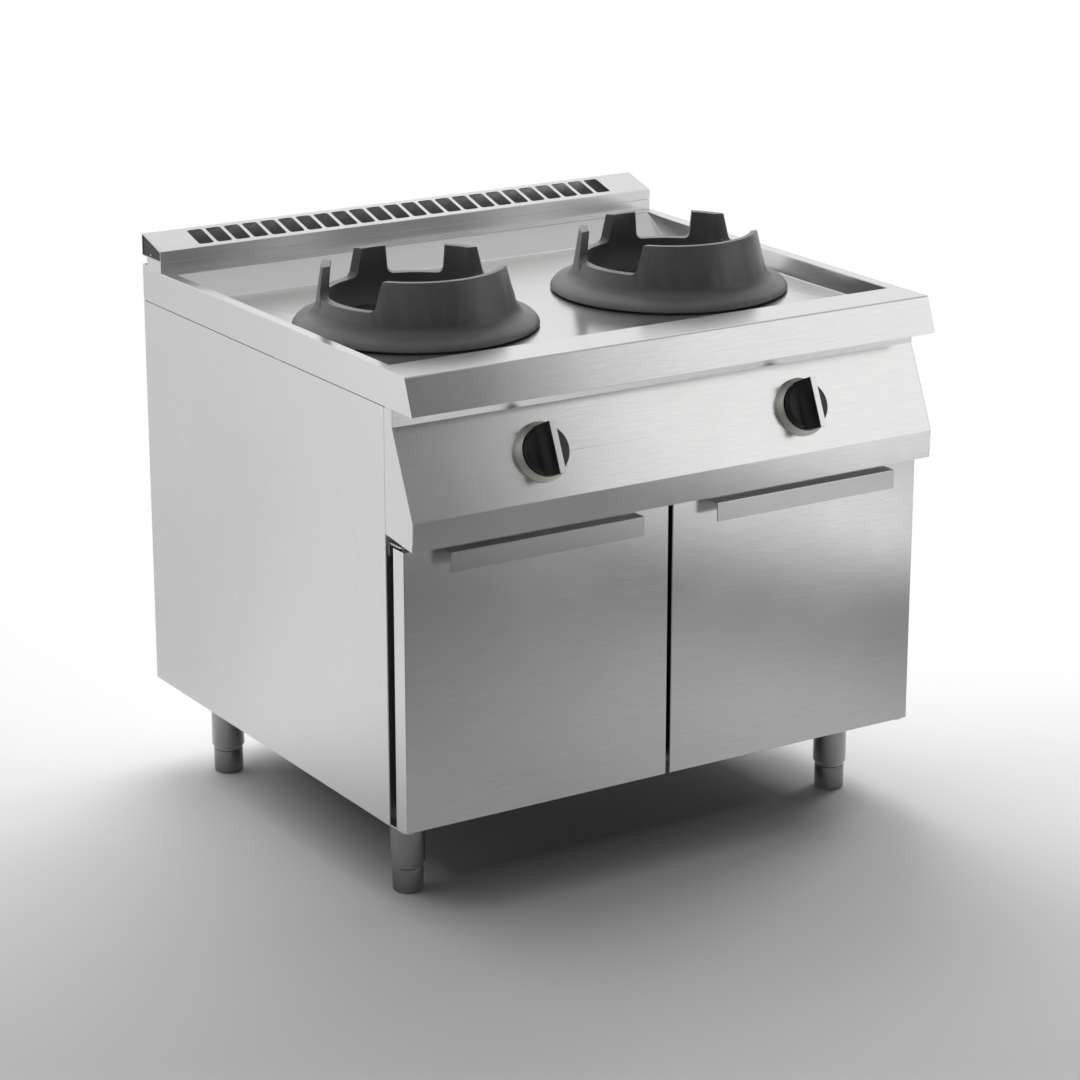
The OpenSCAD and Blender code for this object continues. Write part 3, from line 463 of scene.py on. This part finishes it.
def shapeWorktop():
    piece = mergedCopy("worktop")
    splitBigFaces(piece)
    top = topHigh.z
    frontY = min((v.co.y for v in piece.data.vertices if same(v.co.z, top)))

    def rim(a, b):
        if not bothAt(a, b, 2, top):
            return False
        return bothAt(a, b, 1, frontY) or bothAt(a, b, 0, topLow.x) or bothAt(a, b, 0, topHigh.x)

    def corner(a, b):
        outer = bothAt(a, b, 0, topLow.x) or bothAt(a, b, 0, topHigh.x)
        tall = min(a.z, b.z) < topLow.z + 0.003 and max(a.z, b.z) > top - 0.003
        return outer and tall and max(a.y, b.y) < sideLow.y

    bevelFold(piece, rim, folds["bend"])
    bevelFold(piece, corner, folds["weld"])
    breakEdges(piece, folds["cut"])
    return finishNode(piece, "worktop", panelSteel)


basin = {
    "gap": 0.0003,             # between the floor and the feet of the wok rings
    "collar": (0.004, 0.01),   # heights between which the turned up edges of the openings lie
    "collarEdge": 0.0006,
    "footLength": 0.3,         # the foot of a wall is longer than this
    "level": 0.0004,
    "wallInside": 0.0015,
    "cornerHeight": 0.02,
}


def shapeBasin():
    piece = mergedCopy("basin_pan")
    splitBigFaces(piece)
    floorZ = boxes["wok_ring_left"][0].z - basin["gap"]
    collarLow, collarHigh = basin["collar"]

    def foot(a, b):
        level = same(a.z, floorZ, basin["level"]) and same(b.z, floorZ, basin["level"])
        return level and (a - b).length > basin["footLength"]

    def corner(a, b):
        inside = max(abs(a.x), abs(b.x)) < panHigh.x - basin["wallInside"]
        tall = abs(a.z - b.z) > basin["cornerHeight"]
        return inside and tall and min(a.z, b.z) > floorZ - 0.001

    def collar(a, b):
        return min(a.z, b.z) > floorZ + collarLow and max(a.z, b.z) < floorZ + collarHigh

    bevelFold(piece, corner, folds["panBend"], 4)
    bevelFold(piece, foot, folds["panBend"], 5)
    bevelFold(piece, collar, basin["collarEdge"], 2)
    breakEdges(piece, folds["cut"])
    return finishNode(piece, "basin_pan", panelSteel)


def shapeSheet(node, material, foldTest=None, radius=folds["bend"], topGap=0):
    piece = mergedCopy(node)
    for vertex in piece.data.vertices:
        if same(vertex.co.z, boxes[node][1].z, 0.0001):
            vertex.co.z -= topGap
    if foldTest:
        bevelFold(piece, foldTest, radius)
    breakEdges(piece, folds["cut"])
    return finishNode(piece, node, material)


def panelFold(a, b):
    # the three outer bends of the control panel run its whole width
    front = max(a.y, b.y) < sideLow.y - folds["panelSetback"]
    return front and abs(a.x - b.x) > folds["wholeWidth"] and a.z < folds["panelTop"]


def coverFold(a, b):
    low, high = boxes["flue_cover"]
    wide = abs(a.x - b.x) > folds["wholeWidth"]
    front = bothAt(a, b, 1, low.y) and a.z > low.z + 0.01
    back = bothAt(a, b, 1, high.y) and bothAt(a, b, 2, high.z)
    return wide and (front or back)


def doorFold(a, b):
    low = boxes["door_right_outer"][0]
    front = bothAt(a, b, 1, low.y)
    return front and (a - b).length > folds["halfWidth"]


def handleFold(a, b):
    low, high = boxes["handle_right"]
    wide = abs(a.x - b.x) > folds["halfWidth"]
    return wide and bothAt(a, b, 1, low.y) and bothAt(a, b, 2, high.z)


def sideFold(a, b):
    return abs(a.z - b.z) > 0.5 and bothAt(a, b, 1, sideLow.y) and same(abs(a.x), sideHigh.x)


shapeWorktop()
shapeBasin()
for side in sides:
    shapeSheet(f"side_panel_{side}", sideSteel, sideFold, topGap=folds["shadowGap"])
    shapeSheet(f"panel_cheek_{side}", sideSteel)
    shapeSheet(f"door_{side}_outer", panelSteel, doorFold, folds["door"])
    shapeSheet(f"handle_{side}", handleSteelPaintedShade, handleFold, folds["handle"])
    shapeSheet(f"hinge_plates_{side}", innerSteel)
shapeSheet("control_panel", panelSteel, panelFold, folds["controlPanel"])
shapeSheet("flue_cover", flueSteel, coverFold)
shapeSheet("flue_riser", flueSteel)
shapeSheet("flue_end_plugs", plugBlack)
shapeSheet("back_panel", panelSteel)
for node in ("base_shelf", "cross_rail", "heat_shield", "flue_duct", "burner_straps"):
    shapeSheet(node, innerSteel)
print("sheet metal shaped")


# Cast wok rings

ringShape = {
    "edge": 0.0013,
    "edgeAngle": 38,
    "join": 0.0005,
    "flatAngle": 1.2,
    "neck": 0.166,            # radius of the neck
    "foot": (0.004, 0.034),   # heights between which the foot spreads from the neck to the rim
    "lip": 0.0026,            # the rim is fuller and the neck hollower by this much
}
for side in sides:
    node = f"wok_ring_{side}"
    piece = mergedCopy(node, ringShape["join"], ringShape["flatAngle"])
    low, high = boxes[node]
    middle = (low + high) / 2
    rim = high.x - middle.x
    for vertex in piece.data.vertices:
        away = math.hypot(vertex.co.x - middle.x, vertex.co.y - middle.y)
        share = (away - ringShape["neck"]) / (rim - ringShape["neck"])
        if 0 < share < 1 and ringShape["foot"][0] < vertex.co.z - low.z < ringShape["foot"][1]:
            vertex.co.z -= ringShape["lip"] * math.sin(math.tau * share)
    breakEdges(piece, ringShape["edge"], ringShape["edgeAngle"], 3)
    finishNode(piece, node, ringIron, flat=False)
print("wok rings shaped")


# Knobs: bezel, disc with its grip, and pointer

bezel = {"light": (0.86, 0.83, 0.75), "roughness": 0.42}
knobEdges = {"bezel": 0.0004, "knob": 0.0005, "knobAngle": 25, "pointer": 0.0003}
for side in sides:
    center = knobAxes[side].translation
    bezelMetal = turnedMetal(f"bezel metal {side}", **bezel, center=center, turn=knobTurn)
    piece = mergedCopy(f"knob_bezel_{side}")
    breakEdges(piece, knobEdges["bezel"])
    finishNode(piece, f"knob_bezel_{side}", bezelMetal, flat=False)
    piece = mergedCopy(f"knob_{side}", joinDistance=0.0001)
    breakEdges(piece, knobEdges["knob"], knobEdges["knobAngle"])
    finishNode(piece, f"knob_{side}", knobBlack, flat=False)
    piece = mergedCopy(f"knob_pointer_{side}")
    breakEdges(piece, knobEdges["pointer"])
    finishNode(piece, f"knob_pointer_{side}", pointerMetal)
print("knobs shaped")


# Legs and screw feet, turned with finer steps than the frame's

footPlaces = {}
for place in ("front_left", "front_right", "back_left", "back_right"):
    low, high = boxes[f"foot_{place}"]
    footPlaces[place] = ((low.x + high.x) / 2, (low.y + high.y) / 2)
footShape = {
    "radius": 0.0255,
    "height": 0.042,
    "edge": 0.003,
    "groove": 0.0006,
    "stud": 0.008,
    "studTop": 0.112,
}
legShape = {
    "radius": 0.0285,
    "bottom": 0.0426,
    "collar": 0.003,
    "collarEdge": 0.0005,
    "taper": 0.005,
    "taperEdge": (0.0006, 0.001),
    "plate": 0.04,
    "plateUnder": 0.146,
    "top": 0.15,
    "bore": 0.00805,
    "wall": 0.003,
    "plug": 0.018,
}


def turnedFoot():
    f = footShape
    r = f["radius"]
    points = [(0, 0), (r - f["edge"], 0)]
    points += arcPoints(r - f["edge"], f["edge"], f["edge"], -90, 0)[1:]
    points += arcPoints(r - f["groove"], f["height"] - f["groove"], f["groove"], 0, 90, 3)
    points += [(f["stud"], f["height"]), (f["stud"], f["studTop"]), (0, f["studTop"])]
    return turnedProfile("foot", points)


def turnedLeg():
    g = legShape
    z0 = g["bottom"]
    r0 = footShape["radius"]
    edge = g["collarEdge"]
    z1 = z0 + g["collar"]
    z2 = z1 + g["taper"]
    bore, inner = g["bore"], g["radius"] - g["wall"]
    inward, down = g["taperEdge"]
    outside = [(bore, z0), (r0 - edge, z0), (r0, z0 + edge), (r0, z1),
               (g["radius"] - inward, z2 - down), (g["radius"], z2),
               (g["radius"], g["plateUnder"]), (g["plate"], g["plateUnder"]), (g["plate"], g["top"])]
    within = [(0, g["top"]), (0, g["plateUnder"]), (inner, g["plateUnder"]),
              (inner, z0 + g["plug"]), (bore, z0 + g["plug"]), (bore, z0)]
    return turnedProfile("leg", outside + within)


foot = turnedFoot()
leg = turnedLeg()
legPieces = []
for place, (x, y) in footPlaces.items():
    piece = copyPiece(foot, f"foot_{place}_turned", x, y)
    finishNode(piece, f"foot_{place}", footSteelPaintedShade, flat=False)
    legPieces.append(copyPiece(leg, f"leg_{place}_turned", x, y))
for piece in (foot, leg):
    bpy.data.objects.remove(piece)
deselectAll()
for piece in legPieces:
    piece.select_set(True)
bpy.context.view_layer.objects.active = legPieces[0]
bpy.ops.object.join()
legPieces[0].name = "legs_turned"
finishNode(legPieces[0], "legs", legSteelPaintedShade, flat=False)
print("legs turned")


# The rest of the frame keeps its shape and gets its finish

finishes = {
    brass: ("gas_tap_left", "gas_tap_right", "tap_plug_left", "tap_plug_right", "gas_inlet", "injectors",
            "pilot_burners", "burner_crown_left", "burner_crown_right"),
    pipeSteel: ("gas_manifold", "gas_supply_pipe", "injector_pipes", "pilot_pipes",
                "tap_spindle_left", "tap_spindle_right"),
    burnerIron: ("burner_body_left", "burner_body_right", "burner_cap_left", "burner_cap_right"),
    innerSteel: ("door_left_inner", "door_right_inner", "door_left_fittings", "door_right_fittings",
                 "screws"),
    catchBlack: ("door_catches",),
}
for material, names in finishes.items():
    for name in names:
        node = frame["nodes"][name]
        node.data.materials.clear()
        node.data.materials.append(material)


# Camera, as in the photograph

camera = {
    "place": (-2.9786, -4.7217, 2.1969),
    "heading": 32.297,     # degrees to the right of +Y
    "downward": 17.409,
    "lens": 113.68,
    "sensor": 36,
    "clipEnd": 200,
}
aim = (math.radians(90 - camera["downward"]), 0, -math.radians(camera["heading"]))
deselectAll()
bpy.ops.object.camera_add(location=camera["place"], rotation=aim)
eye = bpy.context.object
eye.data.lens = camera["lens"]
eye.data.sensor_width = camera["sensor"]
eye.data.clip_end = camera["clipEnd"]
bpy.context.scene.camera = eye


# Floor: painted shade darkens it towards the viewer in place of light falling off, and it turns white
# further back

studio = {
    "floorSize": 80,
    "near": (-1.1, 0.7),     # distance from the origin along the view, and the painted shade's brightness there
    "middle": (-0.2, 0.96),
    "far": (0.75, 1.0),
    "glow": (0.1, 1.3),      # along the view, the floor starts to glow white between these distances
    "white": (2.2, 4.5),     # and all around, between these distances from the origin
    "under": (0.32, 0.27),   # half sizes of the painted shadow under the range
    "underSoft": 0.17,
    "paintedShadowDepth": 0.3,
}
# Painted reflection: for the rays that the steel throws back, the floor glows in its own shades, with a
# dark part near the doors, a painted light patch to the front right, and a darker part to the left of the
# side panel
paintedReflection = {
    "front": (-0.25, -0.55),       # Y where this look takes over from the floor as it is
    "dark": 0.09,
    "near": (-2.0, -1.0, 0.24),    # Y from and to, and how much brighter it gets
    "hump": (0.0, 0.5, 0.17),      # X from and to, and how much brighter it gets
    "fall": (0.7, 1.05, 0.2),      # X from and to, and how much darker it gets again
    "slant": 0.35,                 # X - 0.35 Y is the same along the lit patch's edges
    "patchX": (1.5, 1.95),         # where the patch begins, from left to right and from back to front
    "patchY": (-1.3, -1.6),
    "patch": 1.2,
    "patchEnd": (2.3, 2.75, 0.75),   # where it ends, and how much darker it gets
    "sideSlant": 1.57,             # Y + 1.57 X is the same for all that an upright line of the side mirrors
    "side": (-0.75, -0.35, 0.27),  # from and to, and how much darker the side's back part mirrors the floor
    "leftOf": (-0.5, -0.7),        # X where the floor is mirrored by the side panel alone
}


def distance(nodes, links, point):
    node = nodes.new("ShaderNodeVectorMath")
    node.operation = "LENGTH"
    links.new(point, node.inputs[0])
    return node.outputs["Value"]


def paintedShadowUnder(nodes, links, point):
    # painted shadow: the floor's colour is darkened under the range, 1 in the open, less towards the middle
    # of its footprint
    halfSizes = (*studio["under"], 0)
    for operation, value in (("ABSOLUTE", None), ("SUBTRACT", halfSizes), ("MAXIMUM", (0, 0, 0))):
        node = nodes.new("ShaderNodeVectorMath")
        node.operation = operation
        links.new(point, node.inputs[0])
        if value:
            node.inputs[1].default_value = value
        point = node.outputs["Vector"]
    outside = distance(nodes, links, point)
    return spread(nodes, links, outside, studio["paintedShadowDepth"], 1, 0, studio["underSoft"])


def plainFloor(nodes, links, point, rays):
    # the floor as it is seen, which turns white to the back and all around
    turn = nodes.new("ShaderNodeMapping")
    turn.inputs["Rotation"].default_value = (0, 0, math.radians(camera["heading"]))
    split = nodes.new("ShaderNodeSeparateXYZ")
    links.new(point, turn.inputs["Vector"])
    links.new(turn.outputs["Vector"], split.inputs["Vector"])
    nearY, nearShade = studio["near"]
    middleY, middleShade = studio["middle"]
    farY, farShade = studio["far"]
    # painted shade: the floor's colour darkens towards the viewer
    ramp = nodes.new("ShaderNodeValToRGB")
    links.new(spread(nodes, links, split.outputs["Y"], 0, 1, nearY, farY), ramp.inputs["Fac"])
    ramp.color_ramp.elements[0].color = (nearShade,) * 3 + (1,)
    ramp.color_ramp.elements[1].color = (farShade,) * 3 + (1,)
    middle = ramp.color_ramp.elements.new((middleY - nearY) / (farY - nearY))
    middle.color = (middleShade,) * 3 + (1,)
    # painted shadow: the floor's colour is scaled down under the range
    darken = nodes.new("ShaderNodeVectorMath")
    darken.operation = "SCALE"
    links.new(ramp.outputs["Color"], darken.inputs[0])
    links.new(paintedShadowUnder(nodes, links, point), darken.inputs["Scale"])
    diffuse = nodes.new("ShaderNodeBsdfDiffuse")
    links.new(darken.outputs["Vector"], diffuse.inputs["Color"])
    glow = nodes.new("ShaderNodeEmission")
    glow.inputs["Color"].default_value = (1, 1, 1, 1)
    behind = spread(nodes, links, split.outputs["Y"], 0, 1, *studio["glow"])
    around = spread(nodes, links, distance(nodes, links, point), 0, 1, *studio["white"])
    white = joinUp(nodes, links, "MAXIMUM", behind, around)
    # the white parts don't light the object
    unlit = spread(nodes, links, rays["Is Diffuse Ray"], 1, 0, 0, 1)
    mix = nodes.new("ShaderNodeMixShader")
    links.new(joinUp(nodes, links, "MULTIPLY", white, unlit), mix.inputs["Fac"])
    links.new(diffuse.outputs["BSDF"], mix.inputs[1])
    links.new(glow.outputs["Emission"], mix.inputs[2])
    return mix.outputs["Shader"]


def paintedReflectionFloor(nodes, links, point, rays, plain):
    # the same floor, but for rays that the steel throws back it glows in its own painted shades, a painted
    # reflection
    place = nodes.new("ShaderNodeSeparateXYZ")
    links.new(point, place.inputs["Vector"])

    def join(operation, a, b):
        return joinUp(nodes, links, operation, a, b)

    def step(value, low, high, amount):
        return spread(nodes, links, value, 0, amount, low, high)

    x, y = place.outputs["X"], place.outputs["Y"]
    lineFrom, lineTo, lineDark = paintedReflection["side"]
    sideLine = join("ADD", y, join("MULTIPLY", x, paintedReflection["sideSlant"]))
    dimmer = join("MULTIPLY", step(sideLine, lineFrom, lineTo, lineDark), step(x, *paintedReflection["leftOf"], 1))
    dimmer = join("MULTIPLY", dimmer, rays["Is Glossy Ray"])
    shade = join("ADD", step(y, *paintedReflection["near"]), paintedReflection["dark"])
    nearer = step(y, *paintedReflection["near"][:2], 1)
    shade = join("ADD", shade, join("MULTIPLY", nearer, step(x, *paintedReflection["hump"])))
    shade = join("SUBTRACT", shade, step(x, *paintedReflection["fall"]))
    slanted = join("SUBTRACT", x, join("MULTIPLY", y, paintedReflection["slant"]))
    patch = step(slanted, *paintedReflection["patchX"], paintedReflection["patch"])
    patch = join("SUBTRACT", patch, step(slanted, *paintedReflection["patchEnd"]))
    patch = join("MULTIPLY", patch, step(y, *paintedReflection["patchY"], 1))
    # painted reflection: a glow that only the steel's reflections see
    seen = nodes.new("ShaderNodeEmission")
    links.new(join("ADD", shade, patch), seen.inputs["Strength"])
    front = nodes.new("ShaderNodeMixShader")
    links.new(join("MULTIPLY", rays["Is Glossy Ray"], step(y, *paintedReflection["front"], 1)), front.inputs["Fac"])
    links.new(plain, front.inputs[1])
    links.new(seen.outputs["Emission"], front.inputs[2])
    dimmed = nodes.new("ShaderNodeMixShader")
    links.new(dimmer, dimmed.inputs["Fac"])
    links.new(front.outputs["Shader"], dimmed.inputs[1])
    return dimmed.outputs["Shader"]


def studioFloor():
    deselectAll()
    bpy.ops.mesh.primitive_plane_add(size=studio["floorSize"], location=(0, 0, 0))
    floor = bpy.context.object
    floor.name = "studio_floor"
    bpy.ops.object.mode_set(mode="EDIT")
    bpy.ops.mesh.subdivide(number_cuts=8)
    deselectAll()
    material, nodes, links, shader = newMaterial("studio floor")
    nodes.remove(shader)
    point = nodes.new("ShaderNodeTexCoord").outputs["Object"]
    rays = nodes.new("ShaderNodeLightPath").outputs
    plain = plainFloor(nodes, links, point, rays)
    whole = paintedReflectionFloor(nodes, links, point, rays, plain)
    links.new(whole, nodes["Material Output"].inputs["Surface"])
    floor.data.materials.append(material)


studioFloor()


# Light: two soft boxes that the steel mirrors, two that only light the scene, and a surround

softBoxes = {
    "back": {
        "place": (1.6, 2.6, 3.0), "aim": (0.0, 0.4, 0.93),
        "size": (2.0, 0.9), "brightness": 0.62,
    },
    "right": {
        "place": (2.34, -2.17, 1.25), "aim": (0.2, -0.2, 0.75),
        "size": (2.3, 2.3), "brightness": 1.0, "lights": False,
    },
    "fill": {
        "place": (3.2, 0.7, 2.5), "aim": (0.0, 0.0, 0.9),
        "size": (1.2, 1.2), "brightness": 6.5, "reflected": False,
    },
    "key": {
        "place": (0.9, 1.9, 3.4), "aim": (0.0, 0.0, 0.5),
        "size": (2.2, 1.6), "brightness": 4.0, "reflected": False,
    },
}


def softBox(name, place, aim, size, brightness, reflected=True, lights=True):
    turn = (Vector(aim) - Vector(place)).to_track_quat("-Z", "Y").to_euler()
    deselectAll()
    bpy.ops.object.light_add(type="AREA", location=place, rotation=turn)
    lamp = bpy.context.object
    lamp.name = name
    lamp.data.shape = "RECTANGLE"
    lamp.data.size, lamp.data.size_y = size
    lamp.data.energy = brightness * math.pi * size[0] * size[1]
    lamp.visible_camera = False
    lamp.visible_glossy = reflected
    lamp.visible_diffuse = lights


for name, box in softBoxes.items():
    softBox(f"soft_box_{name}", **box)


surround = {
    "low": 0.04,      # plain light from the horizon, from above, and where it turns from one to the other
    "high": 0.95,
    "rise": (0.05, 0.6),
    "shaded": (0.1, 1.75),   # how much of it comes from the front and from the back
    "turn": (-0.25, 0.65),
    "front": 0.1,    # brightness that the steel reflects from the front, the back and overhead
    "back": 0.95,
    "top": 0.58,
    "swing": (-0.5, 0.5),    # Y between which the front gives way to the back
    "lift": (0.35, 0.75),    # Z between which both give way to the top
}


def studioSurround():
    world = bpy.data.worlds.new("studio")
    bpy.context.scene.world = world
    world.use_nodes = True
    nodes, links = world.node_tree.nodes, world.node_tree.links
    background = nodes["Background"]
    rays = nodes.new("ShaderNodeLightPath").outputs
    coords = nodes.new("ShaderNodeTexCoord")
    split = nodes.new("ShaderNodeSeparateXYZ")
    links.new(coords.outputs["Generated"], split.inputs["Vector"])
    y, z = split.outputs["Y"], split.outputs["Z"]
    around = spread(nodes, links, y, surround["front"], surround["back"], *surround["swing"])
    overhead = spread(nodes, links, z, 0, 1, *surround["lift"])
    reflected = blend(nodes, links, overhead, around, surround["top"])
    falling = spread(nodes, links, z, surround["low"], surround["high"], *surround["rise"])
    share = spread(nodes, links, y, *surround["shaded"], *surround["turn"])
    plain = joinUp(nodes, links, "MULTIPLY", falling, share)
    seen = blend(nodes, links, rays["Is Glossy Ray"], plain, reflected)
    links.new(blend(nodes, links, rays["Is Camera Ray"], seen, 1.0), background.inputs["Strength"])
    background.inputs["Color"].default_value = (1, 1, 1, 1)


studioSurround()
bpy.context.scene.view_settings.view_transform = "Standard"
print("studio set")
